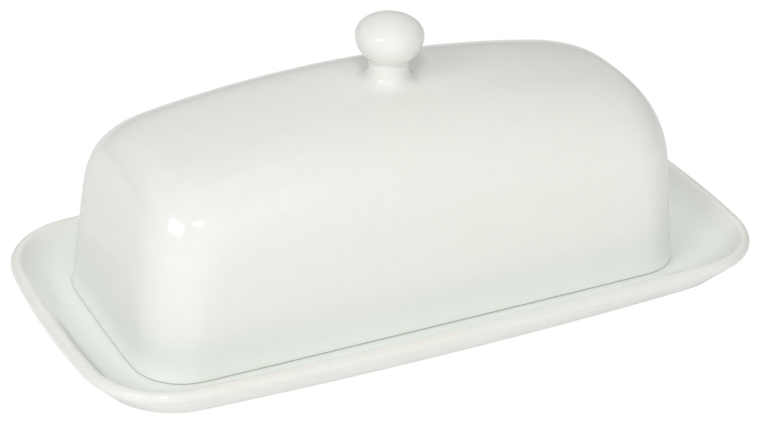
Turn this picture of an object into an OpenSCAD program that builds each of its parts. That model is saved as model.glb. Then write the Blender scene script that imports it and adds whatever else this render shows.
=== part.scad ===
// Butter dish: a tray with a rounded lip, a hollow cover that stands loose on the
// tray's flat floor, and a knob luted onto the top of the cover.
// Lengths are in millimetres. X runs along the dish, Y across it and Z up. The origin is
// at the centre of the tray's foot ring, on the surface that the dish stands on.

/* [Tray] */
// Length of the tray over its lip
tray_length = 200; // [185:1:215]
// Width of the tray over its lip, at the middle of the long sides
tray_width = 100; // [96:1:112]
// Radius of the tray's corners, in plan
tray_corner = 23.4; // [22:0.1:28]
// How far the long sides bow outward
tray_long_bow = 2.1; // [0.4:0.1:3]
// How far the short sides bow outward
tray_short_bow = 1.2; // [0.4:0.1:2]
// Height of the flat floor that the cover stands on
floor_top = 5; // [4.6:0.1:6]
// Height of the foot ring, up to the underside of the floor
foot_height = 1.3; // [1:0.1:1.6]
// Width of the foot ring
foot_width = 3; // [2:0.5:5]
// Distance from the middle of the lip in to the foot ring
foot_inset = 9; // [8:0.5:14]

/* [Rim] */
// Radius of the rounded lip
lip_radius = 1.7; // [1.4:0.1:2.1]
// Height of the middle of the lip
lip_height = 10.1; // [9.5:0.1:11.5]
// Steepness of the rim where it runs into the lip, in degrees
rim_slope = 56; // [50:1:60]
// Width of the rim's curve, from the floor to the lip
rim_run = 10.4; // [9.4:0.2:11.4]
// Distance from the middle of the lip in to the edge of the tray's underside
heel_inset = 5.6; // [5:0.1:7]
// Radius of the heel, where the outside of the rim turns under
heel_radius = 0.8; // [0.5:0.1:1.4]

/* [Cover] */
// Length of the cover at its foot
cover_length = 162; // [156:1:164]
// Width of the cover at its foot
cover_width = 70; // [64:1:70]
// Height of the cover at the middle of its crown
cover_height = 56.8; // [50:0.1:64]
// Radius of the upright corners at the foot
corner_foot = 14.5; // [12:0.5:18]
// Radius of the upright corners where the shoulder ends
corner_shoulder = 16; // [12:0.5:18]
// How far each end leans inward over the full height
end_lean = 5; // [2:0.5:7]
// How far each long wall leans inward over the full height
side_lean = 2.5; // [1:0.5:4]
// How far the shoulder reaches in from each end
shoulder_end = 9.5; // [8:0.5:14]
// How far the shoulder reaches in from each long wall
shoulder_side = 22; // [16:0.5:23]
// Height that the shoulder takes up
shoulder_height = 22; // [14:0.5:26]
// Squareness of the shoulder: 2 is an ellipse, more is squarer
shoulder_power = 2.75; // [2:0.05:3.2]
// Fall of the crown from its middle to the ends
crown_fall_long = 10; // [6:0.5:12]
// Fall of the crown from its middle to the long walls
crown_fall_wide = 4.5; // [2:0.5:5]
// Thickness of the walls
wall = 3.6; // [3:0.1:4.4]
// Thickness of the crown
roof = 4; // [3:0.1:5]
// Radius of the edges that the cover stands on
foot_edge = 0.5; // [0.4:0.1:1.2]
// Distance that the loose cover stands off the middle of the tray, along the length
cover_offset = -3; // [-4:0.5:4]

/* [Knob] */
// Radius of the knob's head
head_radius = 9.1; // [7.5:0.1:11]
// Height of the widest part of the head above the crown
head_rise = 12.8; // [11.5:0.1:15]
// Height of the head above its widest part
head_top = 5.5; // [4:0.1:8]
// Depth that the head tapers to below its widest part
head_taper = 8.2; // [6:0.1:9]
// Radius of the neck
neck_radius = 5.4; // [4.5:0.1:6.5]
// Radius of the knob's spread foot
knob_foot = 9.4; // [8.5:0.1:10.5]
// Distance that the knob sits off the middle of the crown, along the length
knob_offset = 0.8; // [-1:0.1:1]
// Depth of the flat seat cut in the crown for the knob
seat_depth = 0.6; // [0.5:0.1:1.2]

/* [Hidden] */

// Steps along half a short side, round a corner and along half a long side
SHORT_STEPS = 2;
CORNER_STEPS = 7;
LONG_STEPS = 6;
// Steps up the rim, over the lip, round the heel and round the cover's foot edges
RIM_STEPS = 7;
LIP_STEPS = 10;
HEEL_STEPS = 3;
EDGE_STEPS = 3;
// Steps up the cover's walls and over its shoulders
WALL_STEPS = 3;
OUTER_SHOULDER_STEPS = 10;
INNER_SHOULDER_STEPS = 8;
// Rings on the crown, as parts of the way out from its middle
CROWN_RINGS = [0.2, 0.45, 0.7, 0.88];
// Bow that is left in the cover's straight walls
COVER_BOW = 0.2;
// How much larger the corners' radius is at the heel and at the edge of the floor than an
// even distance in from the lip makes it
HEEL_EASE = 3.5;
WELL_EASE = 3;
// Gap all round the knob's foot in its seat
SEAT_GAP = 0.1;
// Steps round each curve of the knob
KNOB_STEPS = 9;
ROUND = 96;
CLAY = [0.94, 0.945, 0.93];

// Middle of the lip, in plan
lip_x = tray_length / 2 - lip_radius;
lip_y = tray_width / 2 - lip_radius;
lip_corner = tray_corner - lip_radius;
// Top end of the rim's curve, on the lip, and the power that gives the curve its slope there
rim_end = lip_radius * sin(rim_slope);
rim_top = lip_height + lip_radius * cos(rim_slope);
rim_power = tan(rim_slope) * rim_run / (rim_top - floor_top);
// Middle of the heel, and the slope of the outside of the rim
heel_height = foot_height + heel_radius;
flank_length = norm([heel_inset, lip_height - heel_height]);
flank_slope = atan2(lip_height - heel_height, heel_inset)
    + asin((lip_radius - heel_radius) / flank_length);
// Cover
cover_x = cover_length / 2;
cover_y = cover_width / 2;
corner_crown = cover_y - side_lean - shoulder_side - 2 * COVER_BOW;
crown_top = floor_top + cover_height;
seat_height = crown_top - seat_depth;
// Knob
head_height = crown_top + head_rise;
neck_end = head_height - head_taper * sqrt(1 - pow(neck_radius / head_radius, 2));
flare = knob_foot - neck_radius;
flare_base = crown_top - crown_fall_wide * pow(knob_foot / cover_y, 2);

// One quarter of a rounded rectangle with bowed sides, from the X axis to the Y axis
function quarter(hx, hy, r, long_bow, short_bow) =
    let (cx = hx - r - short_bow)
    let (cy = hy - r - long_bow)
    let (long_r = (cx * cx + long_bow * long_bow) / (2 * long_bow))
    let (short_r = (cy * cy + short_bow * short_bow) / (2 * short_bow))
    let (long_turn = asin(cx / long_r))
    let (short_turn = asin(cy / short_r))
    let (turn = 90 - long_turn - short_turn)
    [
        for (k = [0:SHORT_STEPS - 1])
            let (t = short_turn * k / SHORT_STEPS)
            [hx - r - short_r + (short_r + r) * cos(t), (short_r + r) * sin(t)],
        for (k = [0:CORNER_STEPS - 1])
            let (t = short_turn + turn * k / CORNER_STEPS)
            [cx + r * cos(t), cy + r * sin(t)],
        for (k = [0:LONG_STEPS])
            let (t = long_turn * (1 - k / LONG_STEPS))
            [(long_r + r) * sin(t), hy - r - long_r + (long_r + r) * cos(t)]
    ];

// The whole outline, counter-clockwise
function outline(hx, hy, r, long_bow, short_bow) =
    let (q = quarter(hx, hy, r, long_bow, short_bow))
    let (m = len(q) - 1)
    [
        for (k = [0:m - 1]) q[k],
        for (k = [m:-1:1]) [-q[k].x, q[k].y],
        for (k = [0:m - 1]) -q[k],
        for (k = [m:-1:1]) [q[k].x, -q[k].y]
    ];

// Outline of the tray, s outward from the middle of the lip
function tray_outline(s, ease = HEEL_EASE) =
    outline(lip_x + s, lip_y + s, lip_corner + s + ease, tray_long_bow, tray_short_bow);

// Section of the rim: distance out from the middle of the lip, height, and corners' ease
rim_section = [
    for (k = [0:RIM_STEPS - 1])
        let (f = k / RIM_STEPS)
        [rim_run * (f - 1) - rim_end, floor_top + (rim_top - floor_top) * pow(f, rim_power),
            WELL_EASE * (1 - f)],
    for (k = [0:LIP_STEPS])
        let (t = 90 + rim_slope - (rim_slope + 180 - flank_slope) * k / LIP_STEPS)
        [lip_radius * cos(t), lip_height + lip_radius * sin(t), 0],
    for (k = [0:HEEL_STEPS])
        let (t = flank_slope - 90 - flank_slope * k / HEEL_STEPS)
        [-heel_inset + heel_radius * cos(t), heel_height + heel_radius * sin(t), HEEL_EASE]
];

// Solid whose skin runs through the rings, with flat ends, or with a point at each end
module skin(rings, first_point = undef, last_point = undef) {
    n = len(rings[0]);
    last = (len(rings) - 1) * n;
    pointed = !is_undef(first_point);
    tip = len(rings) * n;
    points = [
        for (ring = rings) each ring,
        if (pointed) first_point,
        if (pointed) last_point
    ];
    sides = [
        for (k = [0:len(rings) - 2])
            for (i = [0:n - 1])
                let (j = (i + 1) % n)
                let (a = k * n)
                let (b = a + n)
                each [[a + i, a + j, b + j], [a + i, b + j, b + i]]
    ];
    ends = pointed
        ? [
            for (i = [0:n - 1])
                let (j = (i + 1) % n)
                each [[tip, j, i], [tip + 1, last + i, last + j]]
        ]
        : [[for (i = [n - 1:-1:0]) i], [for (i = [0:n - 1]) last + i]];
    polyhedron(points, concat(sides, ends), convexity = 6);
}

module tray() {
    color(CLAY)
        union() {
            skin([
                for (p = rim_section)
                    [for (q = tray_outline(p.x, p.z)) [q.x, q.y, p.y]]
            ]);
            linear_extrude(foot_height + heel_radius)
                difference() {
                    polygon(tray_outline(-foot_inset));
                    polygon(tray_outline(-foot_inset - foot_width));
                }
        }
}

// Point of the shoulder's curve, from the wall, [1, 0], to the crown, [0, 1]
function shoulder_point(t) =
    let (c = pow(cos(t), shoulder_power))
    let (s = pow(sin(t), shoulder_power))
    let (r = pow(c + s, -1 / shoulder_power))
    [r * cos(t), r * sin(t)];

// Ring of the cover at a part of its height, a part of the way in over the shoulder,
// an even distance in from the outside, and an extra distance in at the foot's edges
function cover_ring(part, over, inset, edge = 0) =
    let (hx = cover_x - inset - end_lean * part - (shoulder_end - inset) * over - edge)
    let (hy = cover_y - inset - side_lean * part - (shoulder_side - inset) * over - edge)
    let (r_wall = corner_foot + (corner_shoulder - corner_foot) * part - inset - edge)
    let (r = r_wall + (corner_crown - r_wall) * over)
    outline(hx, hy, r, COVER_BOW, COVER_BOW);

// Height of the crown over a point, where the middle of it stands h above the floor
function crown(q, h) =
    h - crown_fall_long * pow(q.x / cover_x, 2) - crown_fall_wide * pow(q.y / cover_y, 2);

// Puts a ring at its height and where the cover stands
function place(ring, part, h) =
    [for (q = ring) [q.x + cover_offset, q.y, floor_top + part * crown(q, h)]];

// Rings of one face of the cover, from the middle of the crown down to the foot.
// The foot's edge is rounded outward on the inner face and inward on the outer one.
function face_rings(inset, h, steps, edge_side) =
    let (low = 1 - (shoulder_height - inset) / h)
    let (foot = foot_edge / h)
    let (top = cover_ring(1, 1, inset))
    [
        for (f = CROWN_RINGS) place([for (q = top) q * f], 1, h),
        for (k = [steps:-1:0])
            let (p = shoulder_point(90 * k / steps))
            let (part = 1 - (1 - low) * (1 - p.y))
            place(cover_ring(part, 1 - p.x, inset), part, h),
        for (k = [1:WALL_STEPS])
            let (part = low + (foot - low) * k / WALL_STEPS)
            place(cover_ring(part, 0, inset), part, h),
        for (k = [1:EDGE_STEPS])
            let (t = 90 * k / EDGE_STEPS)
            let (part = foot * (1 - sin(t)))
            place(cover_ring(part, 0, inset, edge_side * foot_edge * (1 - cos(t))), part, h)
    ];

module lid_shell() {
    outer = face_rings(0, cover_height, OUTER_SHOULDER_STEPS, 1);
    inner = face_rings(wall, cover_height - roof, INNER_SHOULDER_STEPS, -1);
    color(CLAY)
        difference() {
            skin(
                concat(outer, [for (k = [len(inner) - 1:-1:0]) inner[k]]),
                [cover_offset, 0, crown_top],
                [cover_offset, 0, crown_top - roof]
            );
            translate([cover_offset + knob_offset, 0, seat_height])
                cylinder(r = knob_foot + SEAT_GAP, h = 2 * seat_depth, $fn = ROUND);
        }
}

module knob() {
    start = acos(neck_radius / head_radius);
    section = [
        [0, seat_height],
        [knob_foot, seat_height],
        for (k = [0:KNOB_STEPS])
            let (t = 90 * k / KNOB_STEPS)
            [knob_foot - flare * sin(t), flare_base + flare * (1 - cos(t))],
        for (k = [0:KNOB_STEPS - 1])
            let (t = start * (1 - k / KNOB_STEPS))
            [head_radius * cos(t), head_height - head_taper * sin(t)],
        for (k = [0:KNOB_STEPS])
            let (t = 90 * k / KNOB_STEPS)
            [head_radius * cos(t), head_height + head_top * sin(t)]
    ];
    color(CLAY)
        translate([cover_offset + knob_offset, 0, 0])
            rotate_extrude($fn = ROUND)
                polygon(section);
}

tray();
lid_shell();
knob();
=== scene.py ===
"""Looks of the butter dish: glazed porcelain tray, loose cover and knob, in soft studio light."""

import math

import bmesh
import bpy
import numpy as np
from mathutils import Matrix, Vector


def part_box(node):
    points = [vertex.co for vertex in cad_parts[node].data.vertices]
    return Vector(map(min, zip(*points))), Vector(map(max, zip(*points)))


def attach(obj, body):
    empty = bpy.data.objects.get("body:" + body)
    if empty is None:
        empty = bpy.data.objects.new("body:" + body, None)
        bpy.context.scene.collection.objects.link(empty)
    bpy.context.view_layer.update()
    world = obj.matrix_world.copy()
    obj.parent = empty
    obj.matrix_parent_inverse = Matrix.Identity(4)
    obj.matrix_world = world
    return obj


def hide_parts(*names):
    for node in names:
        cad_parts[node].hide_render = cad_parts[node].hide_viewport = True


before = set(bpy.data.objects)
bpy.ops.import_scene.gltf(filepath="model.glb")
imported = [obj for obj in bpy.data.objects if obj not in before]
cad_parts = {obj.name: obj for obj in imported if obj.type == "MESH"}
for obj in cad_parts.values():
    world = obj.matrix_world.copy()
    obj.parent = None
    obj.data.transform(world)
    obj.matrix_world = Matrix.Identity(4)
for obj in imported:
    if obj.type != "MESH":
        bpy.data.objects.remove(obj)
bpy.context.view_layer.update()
scene = bpy.context.scene
MM = 0.001

# ---------------------------------------------------------------- driving dimensions, in mm
# Tray: the lip's middle line, in plan, comes from the CAD box less the lip's radius.
LIP_RADIUS = 1.7
LIP_HEIGHT = 10.1
RIM_SLOPE = math.radians(56)
RIM_WIDTH = 10.4
FLOOR_TOP = 5.0
TRAY_CORNER = 23.4
# The corners are rounder than the lip's at the heel and in the well, by this much
HEEL_EASE, WELL_EASE = 3.5, 3.0
# Rings inside this corner radius keep its shape and only shrink
LEAST_CORNER = 4.0
TRAY_LONG_BOW, TRAY_SHORT_BOW = 2.1, 1.2
HEEL_INSET, HEEL_RADIUS = 5.6, 0.8
FOOT_HEIGHT, FOOT_WIDTH, FOOT_INSET = 1.3, 3.0, 9.0
FOOT_ROUND, FOOT_COVE = 0.55, 0.35
# Half width of the first and last ring, in the middle of the floor and of the underside
MIDDLE_HALF = 2.0
# Where the thin glaze on the lip's edge lies, out from the lip's middle line, and its width
LIP_THIN_AT, LIP_THIN_WIDTH = 0.2, 1.2
# Painted shade: a darker line painted inside the lip, for the shade on its steep inner flank:
# its place and width in from the lip's middle line, and where it fades out towards the back
# and away from the left end
SHADE_LINE_AT, SHADE_LINE_WIDTH = -3.6, 1.1
SHADE_LINE_BACK, SHADE_LINE_BACK_FADE = 8.0, 10.0
SHADE_LINE_END, SHADE_LINE_END_FADE = -72.0, 12.0
# Cover
COVER_X, COVER_Y, COVER_HEIGHT = 81.0, 35.0, 56.8
CORNER_FOOT, CORNER_SHOULDER, CORNER_CROWN = 14.5, 16.0, 10.1
END_LEAN, SIDE_LEAN = 5.0, 2.5
SHOULDER_END, SHOULDER_SIDE, SHOULDER_HEIGHT, SHOULDER_POWER = 9.5, 22.0, 22.0, 2.75
CROWN_LONG, CROWN_WIDE = 10.0, 4.5
WALL, ROOF = 3.6, 4.0
FOOT_EDGE = 0.5
COVER_BOW = 0.2
KNOB_OFFSET = 0.8
# Knob
HEAD_RADIUS, HEAD_RISE, HEAD_TOP, HEAD_TAPER = 9.1, 12.8, 5.5, 8.2
NECK_RADIUS, KNOB_FOOT, SEAT_DEPTH = 5.4, 9.4, 0.6
NECK_FILLET = 0.7
# How far the curvature of an upright corner is spread along its outline, at the walls and crown
CORNER_EASE, CROWN_EASE = 2.4, 1.2
# How thick the glaze lies, from 0 to 1, where it isn't worked out from the shape
POOL_UNDER_TRAY, POOL_INSIDE_COVER, POOL_KNOB_CREASE = 0.35, 0.4, 0.35
# Width of the glaze in the knob's crease, and height of the bare clay on the cover's foot
CREASE_WIDTH, BARE_FOOT = 1.6, 0.3
# The fillet under the knob's head is whole this far each side of its crease, then fades out
FILLET_WHOLE, FILLET_FADE = 1.54, 1.1
# Height and spread of the thin glaze at the cover's foot
FOOT_THIN_AT, FOOT_THIN_WIDTH = 0.2, 0.9
# Radius of the first ring under the knob, and of the seat's
SEAT_START = 3

tray_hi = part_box("tray")[1]
lid_lo, lid_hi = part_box("lid_shell")
knob_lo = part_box("knob")[0]
lip_x = tray_hi.x / MM - LIP_RADIUS
lip_y = tray_hi.y / MM - LIP_RADIUS
cover_at = (lid_lo.x + lid_hi.x) / 2 / MM
crown_top = FLOOR_TOP + COVER_HEIGHT

# ---------------------------------------------------------------- camera
CAMERA_AZIMUTH, CAMERA_ELEVATION, CAMERA_ROLL = 0.492734, 0.509042, 0.042405
CAMERA_DISTANCE = 0.604955
CAMERA_TARGET = Vector((-0.0028417, 0.0, 0.0212547))
PICTURE_WIDTH, FOCAL_PIXELS, SENSOR = 760, 2218.80, 36.0

camera = bpy.data.objects.new("camera", bpy.data.cameras.new("camera"))
scene.collection.objects.link(camera)
scene.camera = camera
camera.data.sensor_width = SENSOR
camera.data.lens = FOCAL_PIXELS * SENSOR / PICTURE_WIDTH
camera.data.clip_start, camera.data.clip_end = 0.01, 50.0
back = Vector((
    -math.sin(CAMERA_AZIMUTH) * math.cos(CAMERA_ELEVATION),
    -math.cos(CAMERA_AZIMUTH) * math.cos(CAMERA_ELEVATION),
    math.sin(CAMERA_ELEVATION),
))
right = Vector((math.cos(CAMERA_AZIMUTH), -math.sin(CAMERA_AZIMUTH), 0.0))
up = back.cross(right)
turned_right = math.cos(CAMERA_ROLL) * right + math.sin(CAMERA_ROLL) * up
turned_up = math.cos(CAMERA_ROLL) * up - math.sin(CAMERA_ROLL) * right
camera.matrix_world = (
    Matrix.Translation(CAMERA_TARGET + back * CAMERA_DISTANCE)
    @ Matrix((turned_right, turned_up, back)).transposed().to_4x4()
)

# ---------------------------------------------------------------- outlines
SHORT_STEPS, CORNER_STEPS, LONG_STEPS = 8, 24, 20
RING = 4 * (SHORT_STEPS + CORNER_STEPS + LONG_STEPS)
# Steps along the sections of the tray, the cover's outside and inside, and the knob
FLOOR_STEPS, RIM_STEPS, LIP_STEPS, FLANK_STEPS, HEEL_STEPS = 10, 22, 26, 12, 10
COVE_STEPS, FOOT_STEPS, BASE_STEPS = 5, 6, 8
CROWN_STEPS, CROWN_SPACING = 16, 1.3
OUTER_STEPS, INNER_STEPS = (40, 16, 7), (30, 12, 7)
ROOF_SHARES = (0.85, 0.65, 0.45, 0.25, 0.1)
FLARE_STEPS, NECK_STEPS, HEAD_STEPS = 24, 14, 40
QUARTER_TURN = math.pi / 2


def quarter(hx, hy, r, long_bow, short_bow):
    """A quarter of a rounded rectangle with bowed sides, from the X axis to the Y axis."""
    cx, cy = hx - r - short_bow, hy - r - long_bow
    long_r = (cx * cx + long_bow * long_bow) / (2 * long_bow)
    short_r = (cy * cy + short_bow * short_bow) / (2 * short_bow)
    long_turn, short_turn = math.asin(cx / long_r), math.asin(cy / short_r)
    turn = QUARTER_TURN - long_turn - short_turn
    points = []
    for k in range(SHORT_STEPS):
        t = short_turn * k / SHORT_STEPS
        points.append((hx - r - short_r + (short_r + r) * math.cos(t), (short_r + r) * math.sin(t)))
    for k in range(CORNER_STEPS):
        t = short_turn + turn * k / CORNER_STEPS
        points.append((cx + r * math.cos(t), cy + r * math.sin(t)))
    for k in range(LONG_STEPS + 1):
        t = long_turn * (1 - k / LONG_STEPS)
        points.append(((long_r + r) * math.sin(t), hy - r - long_r + (long_r + r) * math.cos(t)))
    return np.array(points)


def eased(points, ease):
    """A closed outline with its curvature spread, so that corners run softly into sides."""
    step = np.linalg.norm(np.roll(points, -1, 0) - points, axis=1)
    along = np.concatenate([[0.0], np.cumsum(step)])
    total, along = along[-1], along[:-1]
    share = (step + np.roll(step, 1)) / 2
    gap = np.abs(along[:, None] - along[None, :])
    gap = np.minimum(gap, total - gap)
    weight = np.exp(-0.5 * (gap / ease) ** 2) * share[None, :]
    return weight @ points / weight.sum(1)[:, None]


def outline(hx, hy, r, long_bow, short_bow, ease=CORNER_EASE):
    """The whole outline, counter-clockwise from the X axis."""
    tight = max(r - ease * ease / (2 * r) / (math.sqrt(2) - 1), 0.4 * r)
    q = quarter(hx, hy, tight, long_bow, short_bow)
    m = len(q) - 1
    left = q[m:0:-1] * (-1, 1)
    whole = np.concatenate([q[:m], left, -q[:m], -left])
    return eased(whole, ease)


def at_height(points, z):
    """Points in plan, lifted to one height or to one height each."""
    return np.column_stack([points, np.broadcast_to(z, len(points))])


# ---------------------------------------------------------------- meshes
SHARP_ANGLE = math.radians(38)


def grown(name, rings, body, node, marks):
    """A closed skin through the rings, ending in a point in the middle of the first and last.

    marks are named numbers for each ring, or each point, that the materials read."""
    rings = np.array(rings)
    count, around = rings.shape[:2]
    box_lo, box_hi = (np.array(c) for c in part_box(node))
    points = rings.reshape(-1, 3)
    ends = [rings[0].mean(0), rings[-1].mean(0)]
    points = np.clip(np.vstack([points, ends]) * MM, box_lo, box_hi)
    faces = []
    for k in range(count - 1):
        for i in range(around):
            j = (i + 1) % around
            a, b = k * around, (k + 1) * around
            faces.append((a + i, b + i, b + j, a + j))
    first, last, tail = count * around, count * around + 1, (count - 1) * around
    for i in range(around):
        j = (i + 1) % around
        faces.append((first, i, j))
        faces.append((last, tail + j, tail + i))
    mesh = bpy.data.meshes.new(name)
    mesh.from_pydata([tuple(p) for p in points], [], faces)
    mesh.validate()
    for mark, values in marks.items():
        values = np.array(values, float)
        if values.ndim == 1:
            values = np.repeat(values, around)
        values = values.ravel()
        values = np.concatenate([values, values[[0, -1]]]).astype(np.float32)
        mesh.attributes.new(mark, "FLOAT", "POINT").data.foreach_set("value", values)
    work = bmesh.new()
    work.from_mesh(mesh)
    bmesh.ops.recalc_face_normals(work, faces=work.faces)
    work.to_mesh(mesh)
    work.free()
    mesh.shade_smooth()
    mesh.set_sharp_from_angle(angle=SHARP_ANGLE)
    piece = bpy.data.objects.new(name, mesh)
    scene.collection.objects.link(piece)
    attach(piece, body)
    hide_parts(node)
    return piece


def arc(cx, cz, radius, start, end, steps):
    """Points of an arc in a section, angles in radians."""
    return [
        (cx + radius * math.cos(start + (end - start) * k / steps),
         cz + radius * math.sin(start + (end - start) * k / steps))
        for k in range(steps + 1)
    ]


def bump(value, middle, width):
    """1 at the middle, falling smoothly to 0 either side."""
    return math.exp(-((value - middle) / width) ** 2)


def build_tray():
    """The tray as rings, from the floor's middle over the lip to the underside's middle.

    section holds (distance out from the lip's middle line, height) for each ring."""
    rim_end = LIP_RADIUS * math.sin(RIM_SLOPE)
    rim_top = LIP_HEIGHT + LIP_RADIUS * math.cos(RIM_SLOPE)
    rim_power = math.tan(RIM_SLOPE) * RIM_WIDTH / (rim_top - FLOOR_TOP)
    heel_height = FOOT_HEIGHT + HEEL_RADIUS
    flank_length = math.hypot(HEEL_INSET, LIP_HEIGHT - heel_height)
    flank = math.atan2(LIP_HEIGHT - heel_height, HEEL_INSET)
    flank += math.asin((LIP_RADIUS - HEEL_RADIUS) / flank_length)
    section = []
    # floor, from near its middle out to the rim
    floor_edge = -RIM_WIDTH - rim_end
    reach = lip_y - MIDDLE_HALF
    for f in np.linspace(0, 1, FLOOR_STEPS)[:-1]:
        section.append((-reach + (reach + floor_edge) * f, FLOOR_TOP))
    # rim
    for f in np.linspace(0, 1, RIM_STEPS)[:-1]:
        height = FLOOR_TOP + (rim_top - FLOOR_TOP) * f ** rim_power
        section.append((RIM_WIDTH * (f - 1) - rim_end, height))
    # lip
    lip_from, lip_to = QUARTER_TURN + RIM_SLOPE, flank - QUARTER_TURN
    section += arc(0, LIP_HEIGHT, LIP_RADIUS, lip_from, lip_to, LIP_STEPS)
    lip_last = len(section) - 1
    lip_out = section[-1][0]
    # flank down to the heel
    heel = arc(-HEEL_INSET, heel_height, HEEL_RADIUS, lip_to, -QUARTER_TURN, HEEL_STEPS)
    (lip_s, lip_z), (heel_s, heel_z) = section[-1], heel[0]
    for f in np.linspace(0, 1, FLANK_STEPS)[1:-1]:
        section.append((lip_s + (heel_s - lip_s) * f, lip_z + (heel_z - lip_z) * f))
    section += heel
    # underside in to the foot ring, whose bottom edges are rounded and wiped bare
    foot_out, foot_in = -FOOT_INSET, -FOOT_INSET - FOOT_WIDTH
    cove, cove_z = FOOT_COVE, FOOT_HEIGHT - FOOT_COVE
    section += [(foot_out + cove + 0.6, FOOT_HEIGHT)]
    section += arc(foot_out + cove, cove_z, cove, QUARTER_TURN, 2 * QUARTER_TURN, COVE_STEPS)
    bare_from = len(section)
    outer_edge, inner_edge = foot_out - FOOT_ROUND, foot_in + FOOT_ROUND
    section += arc(outer_edge, FOOT_ROUND, FOOT_ROUND, 0, -QUARTER_TURN, FOOT_STEPS)
    section += [(foot_out - FOOT_WIDTH / 2, 0.0)]
    section += arc(
        inner_edge, FOOT_ROUND, FOOT_ROUND, -QUARTER_TURN, -2 * QUARTER_TURN, FOOT_STEPS
    )
    bare_to = len(section)
    # recess inside the foot ring
    section += arc(foot_in - cove, cove_z, cove, 0, QUARTER_TURN, COVE_STEPS)
    base_edge = foot_in - cove
    for f in np.linspace(0, 1, BASE_STEPS)[1:]:
        section.append((base_edge + (-reach - base_edge) * f, FOOT_HEIGHT))
    rings, pool, edge, bare, line = [], [], [], [], []
    for k, (s, z) in enumerate(section):
        if k > lip_last:
            ease = HEEL_EASE * min(1.0, (lip_out - s) / (lip_out + HEEL_INSET))
        else:
            ease = WELL_EASE * min(1.0, max(0.0, -s - rim_end) / RIM_WIDTH)
        corner = TRAY_CORNER - LIP_RADIUS + s + ease
        inset = s if corner > LEAST_CORNER else LEAST_CORNER - (corner - s)
        corner = max(corner, LEAST_CORNER)
        ring = outline(lip_x + inset, lip_y + inset, corner, TRAY_LONG_BOW, TRAY_SHORT_BOW)
        ring = ring * (lip_y + s) / (lip_y + inset)
        rings.append(at_height(ring, z))
        well = max(0.0, 1 - max(0.0, z - FLOOR_TOP) / (rim_top - FLOOR_TOP))
        if k > lip_last:
            pool.append(POOL_UNDER_TRAY)
        else:
            pool.append(well if k < lip_last and s < 0 else 0.0)
        edge.append(bump(s, LIP_THIN_AT, LIP_THIN_WIDTH) if z > LIP_HEIGHT - 1 else 0.0)
        bare.append(1.0 if bare_from < k < bare_to - 1 else 0.0)
        # painted shade: a darker line inside the lip, at one end, for the shade on its steep inner
        # flank
        fades = np.clip((SHADE_LINE_BACK - ring[:, 1]) / SHADE_LINE_BACK_FADE, 0, 1)
        fades = fades * np.clip((SHADE_LINE_END - ring[:, 0]) / SHADE_LINE_END_FADE, 0, 1)
        line.append(fades * (bump(s, SHADE_LINE_AT, SHADE_LINE_WIDTH) if k < lip_last else 0.0))
    marks = {"pool": pool, "edge": edge, "bare": bare, "line": line}
    return grown("tray_glazed", rings, "tray_body", "tray", marks)


def crown(points, h):
    """Height of the crown over points in plan, where its middle stands h above the floor."""
    x, y = points[:, 0] / COVER_X, points[:, 1] / COVER_Y
    return h - CROWN_LONG * x ** 2 - CROWN_WIDE * y ** 2


def cover_plan(part, over, inset, extra=0.0):
    """Outline of a face of the cover.

    part runs from 0 at the foot to 1 at the crown, over from 0 on the wall to 1 at the
    shoulder's top. inset is the face's depth in the wall, extra a further rounding."""
    hx = COVER_X - inset - END_LEAN * part - (SHOULDER_END - inset) * over - extra
    hy = COVER_Y - inset - SIDE_LEAN * part - (SHOULDER_SIDE - inset) * over - extra
    r_wall = CORNER_FOOT + (CORNER_SHOULDER - CORNER_FOOT) * part - inset - extra
    r = r_wall + (CORNER_CROWN - r_wall) * over
    ease = CORNER_EASE + (CROWN_EASE - CORNER_EASE) * over
    return outline(hx, hy, r, COVER_BOW, COVER_BOW, ease)


def cover_face(inset, h, edge_side, shoulder_steps, wall_steps, edge_steps):
    """Rings of one face of the cover from the crown's edge down to the foot, and their parts.

    edge_side is 1 where the foot's edge rounds in from outside, -1 where it rounds out from
    inside."""
    low = 1 - (SHOULDER_HEIGHT - inset) / h
    foot = FOOT_EDGE / h
    rings, parts = [], []

    def add(part, over, extra=0.0):
        plan = cover_plan(part, over, inset, extra)
        rings.append(at_height(plan, FLOOR_TOP + part * crown(plan, h)))
        parts.append(part)

    for k in range(shoulder_steps, -1, -1):
        t = QUARTER_TURN * k / shoulder_steps
        c, s = math.cos(t), math.sin(t)
        r = (max(c, 0) ** SHOULDER_POWER + s ** SHOULDER_POWER) ** (-1 / SHOULDER_POWER)
        add(1 - (1 - low) * (1 - r * s), 1 - r * c)
    for k in range(1, wall_steps + 1):
        add(low + (foot - low) * k / wall_steps, 0)
    for k in range(1, edge_steps + 1):
        t = QUARTER_TURN * k / edge_steps
        add(foot * (1 - math.sin(t)), 0, edge_side * FOOT_EDGE * (1 - math.cos(t)))
    return rings, parts


turn = 2 * math.pi * np.arange(RING) / RING
circle = np.column_stack([np.cos(turn), np.sin(turn)])
knob_at = np.array((KNOB_OFFSET, 0))


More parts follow.
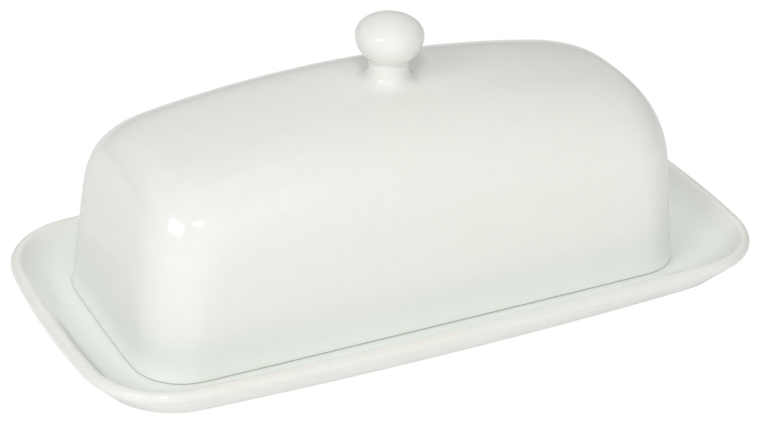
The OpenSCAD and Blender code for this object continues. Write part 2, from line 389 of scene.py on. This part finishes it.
def build_lid():
    """The cover as rings, from the knob's seat over the outside and up the inside to the roof."""
    outer, outer_parts = cover_face(0, COVER_HEIGHT, 1, *OUTER_STEPS)
    inner = cover_face(WALL, COVER_HEIGHT - ROOF, -1, *INNER_STEPS)[0]
    seat = circle * KNOB_FOOT + knob_at
    seat_z = crown_top - SEAT_DEPTH
    rings = [at_height(circle * SEAT_START + knob_at, seat_z), at_height(seat, seat_z)]
    # crown, from the seat out to the shoulder
    top = outer[0][:, :2]
    for f in np.linspace(0, 1, CROWN_STEPS)[:-1] ** CROWN_SPACING:
        plan = seat + (top - seat) * f
        rings.append(at_height(plan, FLOOR_TOP + crown(plan, COVER_HEIGHT)))
    start = len(rings)
    rings += outer
    under = len(rings)
    rings += inner[::-1]
    inner_top = inner[0][:, :2]
    for f in ROOF_SHARES:
        plan = inner_top * f
        rings.append(at_height(plan, FLOOR_TOP + crown(plan, COVER_HEIGHT - ROOF)))
    rings = [r + (cover_at, 0, 0) for r in rings]
    pool, edge, bare = [], [], []
    for k, ring in enumerate(rings):
        if k < start:
            pool.append(0.0)
        elif k < under:
            pool.append(min(1.0, max(0.0, 1.2 - outer_parts[k - start] / 0.3)))
        else:
            pool.append(POOL_INSIDE_COVER)
        z = ring[:, 2].min() - FLOOR_TOP
        edge.append(0.0 if k < 2 else bump(z, FOOT_THIN_AT, FOOT_THIN_WIDTH))
        bare.append(1.0 if z < BARE_FOOT and k > 2 else 0.0)
    marks = {"pool": pool, "edge": edge, "bare": bare}
    return grown("lid_glazed", rings, "cover_body", "lid_shell", marks)


def build_knob():
    """The knob as rings, from its foot in the seat up to the top of its head.

    follow says how far each ring dips with the crown beneath it, from 1 to 0."""
    head_z = crown_top + HEAD_RISE
    flare = KNOB_FOOT - NECK_RADIUS
    neck_end = head_z - HEAD_TAPER * math.sqrt(1 - (NECK_RADIUS / HEAD_RADIUS) ** 2)
    profile, follow = [], []
    # spread foot
    for k in range(FLARE_STEPS + 1):
        t = QUARTER_TURN * k / FLARE_STEPS
        profile.append((KNOB_FOOT - flare * math.sin(t), flare * (1 - math.cos(t)) + crown_top))
        follow.append(1.0)
    # neck
    neck_start = profile[-1][1]
    for k in range(1, NECK_STEPS):
        f = k / NECK_STEPS
        profile.append((NECK_RADIUS, neck_start + (neck_end - neck_start) * f))
        follow.append(1 - f)
    # head, under and over its widest ring
    head_from = len(profile)
    start = math.acos(NECK_RADIUS / HEAD_RADIUS)
    for k in range(HEAD_STEPS + 1):
        t = start * (1 - k / HEAD_STEPS)
        profile.append((HEAD_RADIUS * math.cos(t), head_z - HEAD_TAPER * math.sin(t)))
    for k in range(1, HEAD_STEPS):
        t = QUARTER_TURN * k / HEAD_STEPS
        profile.append((HEAD_RADIUS * math.cos(t), head_z + HEAD_TOP * math.sin(t)))
    follow += [0.0] * (len(profile) - len(follow))
    profile = np.array(profile)
    # the crease under the head is filled with glaze
    step = np.linalg.norm(np.diff(profile, axis=0), axis=1)
    along = np.concatenate([[0.0], np.cumsum(step)])
    crease = along[head_from]
    gap = (along[:, None] - along[None, :]) / NECK_FILLET
    weight = np.exp(-0.5 * gap ** 2) * np.gradient(along)[None, :]
    soft = weight @ profile / weight.sum(1)[:, None]
    beyond = np.abs(along - crease) - FILLET_WHOLE
    near = np.clip(1 - beyond / FILLET_FADE, 0, 1)[:, None]
    profile = profile + (soft - profile) * near
    foot_z = knob_lo.z / MM
    rings = [at_height(circle * r + knob_at, foot_z) for r in (SEAT_START, KNOB_FOOT)]
    pool = [0.0, 0.0]
    for (r, z), f, s in zip(profile, follow, along):
        plan = circle * r + knob_at
        fall = (crown(plan, COVER_HEIGHT) - COVER_HEIGHT) * f
        rings.append(at_height(plan, z + fall))
        pool.append(POOL_KNOB_CREASE * bump(s, crease, CREASE_WIDTH))
    rings = [r + (cover_at, 0, 0) for r in rings]
    none = [0.0] * len(rings)
    marks = {"pool": pool, "edge": none, "bare": none}
    return grown("knob_glazed", rings, "cover_body", "knob", marks)


tray = build_tray()
lid = build_lid()
knob = build_knob()

# ---------------------------------------------------------------- material
GLAZE_IOR = 1.43
BODY, POOLED = (0.928, 0.932, 0.886), (0.918, 0.957, 0.924)
# colour of the iron specks, and of the painted shade line inside the tray's lip
SPECK, PAINTED_SHADE = (0.42, 0.37, 0.3, 1), (0.45, 0.48, 0.45, 1)
CLAY_LIGHT, CLAY_DARK = (0.52, 0.48, 0.42, 1), (0.4, 0.36, 0.31, 1)
CLAY_ROUGH = 0.72
# Depths of the relief, in metres: slow waves, fine ripple and the clay's grain
SWAY, PEEL, GRAIN = 0.00010, 0.0000035, 0.00003


def add_node(tree, kind, settings=None, **inputs):
    """A shader node with its settings, and its inputs set or linked.

    An input is named by i and its number, or by its name with _ for a space."""
    node = tree.nodes.new("ShaderNode" + kind)
    for key, value in (settings or {}).items():
        setattr(node, key, value)
    for key, value in inputs.items():
        numbered = key[0] == "i" and key[1:].isdigit()
        socket = node.inputs[int(key[1:]) if numbered else key.replace("_", " ")]
        if isinstance(value, bpy.types.NodeSocket):
            tree.links.new(value, socket)
        else:
            socket.default_value = value
    return node


def glaze(name, body, pooled, seed):
    """Glossy off-white glaze, cooler where it pools and thin on edges, with bare clay on feet.

    seed shifts the patterns, so that no two pieces have the same."""
    material = bpy.data.materials.new(name)
    material.use_nodes = True
    tree = material.node_tree
    tree.nodes.clear()

    def put(kind, settings=None, **inputs):
        return add_node(tree, kind, settings, **inputs)

    def noise(scale, detail, shift=0.0):
        where = put("VectorMath", {"operation": "ADD"}, i0=place, i1=(seed + shift, 0.0, shift))
        made = put(
            "TexNoise", None, Vector=where.outputs[0], Scale=scale, Detail=detail, Roughness=0.5
        )
        return made.outputs["Fac"]

    def ranged(value, low, high, to_low, to_high):
        node = put("MapRange", {"interpolation_type": "SMOOTHSTEP"}, i0=value)
        for k, number in enumerate((low, high, to_low, to_high)):
            node.inputs[k + 1].default_value = number
        return node.outputs[0]

    def mixed(factor, first, second):
        return put("Mix", {"data_type": "RGBA"}, i0=factor, i6=first, i7=second).outputs[2]

    def mark(which):
        return put("Attribute", {"attribute_name": which}).outputs["Fac"]

    def times(a, b):
        return put("Math", {"operation": "MULTIPLY"}, i0=a, i1=b).outputs[0]

    def tinted(tint):
        return [c * k for c, k in zip(body, tint)] + [1]

    place = put("TexCoord").outputs["Object"]
    # slow drift of the glaze's tint
    warm, cool = tinted((1.006, 0.998, 0.985)), tinted((0.992, 1.0, 1.006))
    colour = mixed(ranged(noise(22, 2), 0.35, 0.65, 0, 1), warm, cool)
    # faint mottling where bubbles lie in the glaze
    dull = tinted((0.975, 0.975, 0.975))
    colour = mixed(ranged(noise(330, 3, 3.0), 0.45, 0.75, 0, 0.6), colour, dull)
    # thick glaze in hollows, broken up a little, and thin glaze on edges
    thick = times(mark("pool"), ranged(noise(60, 2, 5.0), 0.3, 0.7, 0.82, 1.0))
    colour = mixed(thick, colour, list(pooled) + [1])
    thin = times(mark("edge"), ranged(noise(140, 2, 7.0), 0.35, 0.65, 0.25, 0.75))
    colour = mixed(thin, colour, tinted((0.985, 0.975, 0.955)))
    # iron specks: balls about 12 mm apart and up to 0.6 mm across, cut by the surface
    cells = put("TexVoronoi", {"feature": "F1"}, Vector=place, Scale=82.0, Randomness=1.0)
    speck = ranged(cells.outputs["Distance"], 0.012, 0.024, 0.55, 0)
    colour = mixed(speck, colour, SPECK)
    # bare clay, with grain
    clay = mixed(noise(1500, 3, 9.0), CLAY_LIGHT, CLAY_DARK)
    bare = ranged(mark("bare"), 0.2, 0.8, 0, 1)
    colour = mixed(bare, colour, clay)
    # painted shade: a darker line inside the lip, on the tray only
    colour = mixed(ranged(mark("line"), 0.0, 0.9, 0, 0.65), colour, PAINTED_SHADE)

    polish = ranged(noise(90, 3, 11.0), 0.3, 0.7, 0.055, 0.1)
    rough = put("Mix", {"data_type": "FLOAT"}, i0=bare, i2=polish, i3=CLAY_ROUGH).outputs[0]

    normal = put("Bump", None, Strength=1.0, Distance=SWAY, Height=noise(30, 1, 13.0)).outputs[0]
    normal = put(
        "Bump", None, Strength=1.0, Distance=PEEL, Height=noise(620, 1, 15.0), Normal=normal
    ).outputs[0]
    normal = put(
        "Bump", None, Strength=bare, Distance=GRAIN, Height=noise(2600, 2, 17.0), Normal=normal
    ).outputs[0]

    shader = put(
        "BsdfPrincipled", None, Base_Color=colour, Roughness=rough, IOR=GLAZE_IOR, Normal=normal
    )
    put("OutputMaterial", None, Surface=shader.outputs[0])
    return material


for k, piece in enumerate((tray, lid, knob)):
    piece.data.materials.append(glaze(piece.name.replace("glazed", "glaze"), BODY, POOLED, 1.7 * k))

# ---------------------------------------------------------------- stage and light
# The sweep is white to the camera. To the object it is paper that glows a little, and from
# below it is clear.
FLOOR_HALF = 3.0
PAPER, PAPER_GLOW = (0.85, 0.85, 0.85, 1), 0.165
corners = [(FLOOR_HALF * x, FLOOR_HALF * y, 0) for x, y in ((-1, -1), (1, -1), (1, 1), (-1, 1))]
floor_mesh = bpy.data.meshes.new("floor")
floor_mesh.from_pydata(corners, [], [(0, 1, 2, 3)])
floor = bpy.data.objects.new("floor", floor_mesh)
scene.collection.objects.link(floor)
paper = bpy.data.materials.new("white_sweep")
paper.use_nodes = True
tree = paper.node_tree
tree.nodes.clear()
matte = add_node(tree, "BsdfDiffuse", Color=PAPER).outputs[0]
glow = add_node(tree, "Emission", Strength=PAPER_GLOW).outputs[0]
both = add_node(tree, "AddShader", i0=matte, i1=glow).outputs[0]
white = add_node(tree, "Emission", Strength=1.0).outputs[0]
seen = add_node(tree, "LightPath").outputs["Is Camera Ray"]
top = add_node(tree, "MixShader", i0=seen, i1=both, i2=white).outputs[0]
below = add_node(tree, "NewGeometry").outputs["Backfacing"]
clear = add_node(tree, "BsdfTransparent").outputs[0]
whole = add_node(tree, "MixShader", i0=below, i1=top, i2=clear).outputs[0]
add_node(tree, "OutputMaterial", Surface=whole)
floor.data.materials.append(paper)


def towards(azimuth, elevation):
    """Direction from the object. Azimuth 0 is in front, along -Y, 90 on the left, along -X."""
    a, e = math.radians(azimuth), math.radians(elevation)
    return Vector((-math.sin(a) * math.cos(e), -math.cos(a) * math.cos(e), math.sin(e)))


AMBIENT = 0.18
# Broad glows of the studio's walls: azimuth, elevation, tightness, strength
GLOWS = ((200, 45, 4.0, 0.60), (35, 45, 4.0, 0.22), (5, 10, 5.0, 0.56))
# Softboxes: azimuth, elevation, distance, width and height in degrees, strength
SOFTBOXES = (
    ("window_box", 67, 35, 1.5, 21, 19, 4.6),
    ("small_box", 30, 47, 1.5, 9, 5, 50.0),
    ("front_box", 0, 40, 0.75, 30, 30, 0.47),
    ("top_box", 30, 85, 1.5, 30, 30, 0.45),
)
world = bpy.data.worlds.new("studio")
scene.world = world
world.use_nodes = True
tree = world.node_tree
tree.nodes.clear()


def sums(operation, *values):
    """A maths node of the studio's light."""
    inputs = {f"i{k}": value for k, value in enumerate(values)}
    return add_node(tree, "Math", {"operation": operation}, **inputs).outputs[0]


around = add_node(tree, "TexCoord").outputs["Generated"]
level = AMBIENT
for azimuth, elevation, tightness, strength in GLOWS:
    aim = towards(azimuth, elevation)
    along = add_node(tree, "VectorMath", {"operation": "DOT_PRODUCT"}, i0=around, i1=aim)
    fall = sums("MULTIPLY_ADD", along.outputs["Value"], tightness, -tightness)
    level = sums("MULTIPLY_ADD", sums("EXPONENT", fall), strength, level)
dim = add_node(tree, "Background", Color=(1, 1, 1, 1), Strength=level).outputs[0]
white = add_node(tree, "Background", Color=(1, 1, 1, 1), Strength=1.0).outputs[0]
seen = add_node(tree, "LightPath").outputs["Is Camera Ray"]
whole = add_node(tree, "MixShader", i0=seen, i1=dim, i2=white).outputs[0]
add_node(tree, "OutputWorld", Surface=whole)

LIGHT_AIM = Vector((0, 0, 0.03))
for name, azimuth, elevation, distance, wide, tall, strength in SOFTBOXES:
    data = bpy.data.lights.new(name, "AREA")
    data.shape = "RECTANGLE"
    data.size = 2 * distance * math.tan(math.radians(wide / 2))
    data.size_y = 2 * distance * math.tan(math.radians(tall / 2))
    data.energy = strength * math.pi * data.size * data.size_y
    lamp = bpy.data.objects.new(name, data)
    scene.collection.objects.link(lamp)
    lamp.location = LIGHT_AIM + towards(azimuth, elevation) * distance
    lamp.rotation_mode = "QUATERNION"
    lamp.rotation_quaternion = towards(azimuth, elevation).to_track_quat("Z", "Y")
    lamp.visible_camera = False

scene.view_settings.view_transform = "Standard"
